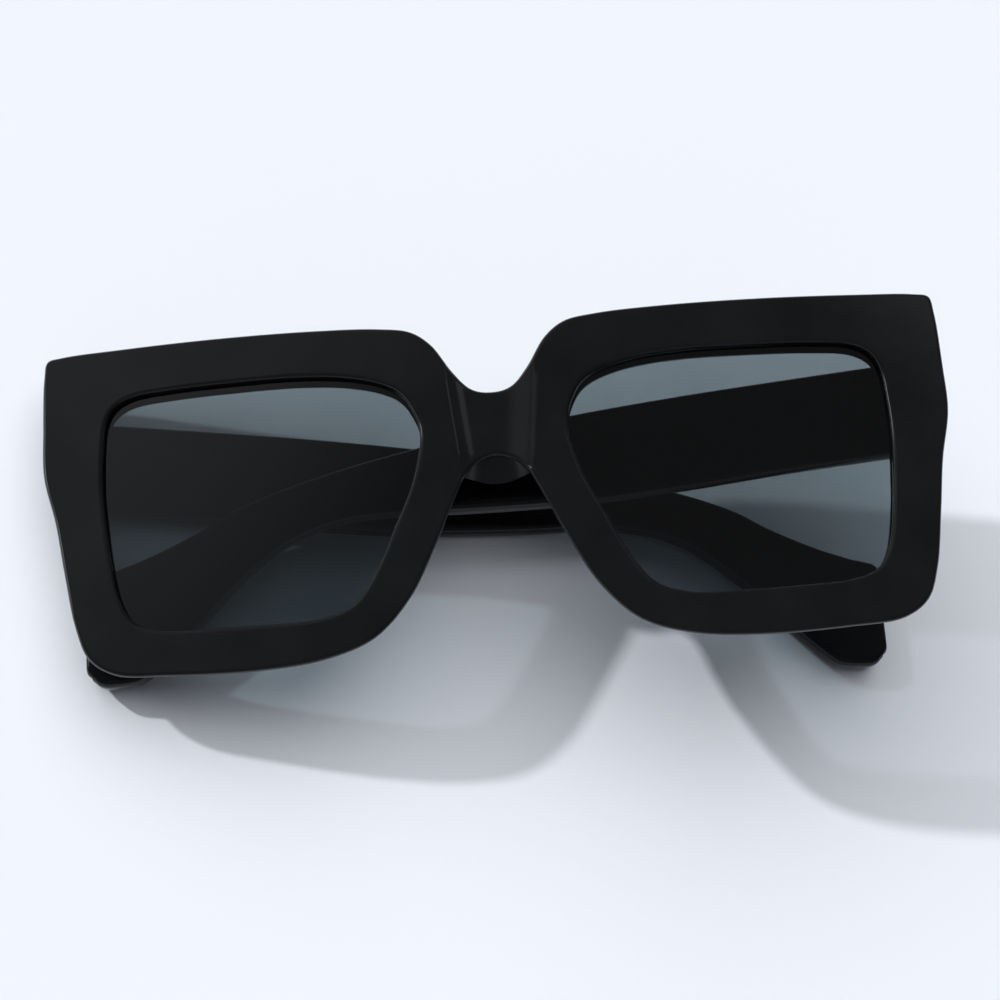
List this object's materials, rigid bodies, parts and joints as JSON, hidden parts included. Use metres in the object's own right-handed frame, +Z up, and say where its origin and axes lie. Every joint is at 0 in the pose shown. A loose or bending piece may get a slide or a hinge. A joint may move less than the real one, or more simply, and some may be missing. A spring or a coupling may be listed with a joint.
{
  "type": "sunglasses",
  "caption": "Oversized square sunglasses with wide black rims, dark lenses and broad hinged temples, folded and lying on their back.",
  "frame": {"origin": "centre of the bounding box at its base, on the surface the folded glasses lie on", "axes": "+X along the folded glasses' width towards the wearer's left hinge, +Y towards the brow, +Z up from the surface"},
  "size_m": [0.1453, 0.0566, 0.0422],
  "materials": {
    "black_plastic": "polished black",
    "pad_plastic": "polished black",
    "tinted_lens": "dark grey tint, polished",
    "hinge_metal": "satin"
  },
  "bodies": {
    "right_temple": {"temple_right": "black_plastic", "temple_leaf_right": "hinge_metal"},
    "front": {"front_frame": "black_plastic", "lens_left": "tinted_lens", "lens_right": "tinted_lens", "nose_pad_left": "pad_plastic", "nose_pad_right": "pad_plastic", "front_leaf_left": "hinge_metal", "front_leaf_right": "hinge_metal", "front_anchors_left": "hinge_metal", "front_anchors_right": "hinge_metal", "hinge_screw_left": "hinge_metal", "hinge_screw_right": "hinge_metal"},
    "left_temple": {"temple_left": "black_plastic", "temple_leaf_left": "hinge_metal"}
  },
  "joints": [
    {"name": "hinge_right", "type": "hinge", "parent": "right_temple", "child": "front", "pos_m": [-0.06621, 0.0105, 0.0058], "axis": [0, -1, 0], "range_deg": [0, 77.5]},
    {"name": "hinge_left", "type": "hinge", "parent": "front", "child": "left_temple", "pos_m": [0.06764, 0.0105, 0.03547], "axis": [0, -1, 0], "range_deg": [0, 90]}
  ],
  "couplings": [
    {"joint": "hinge_left", "follows": "hinge_right", "ratio": 0.24}
  ]
}
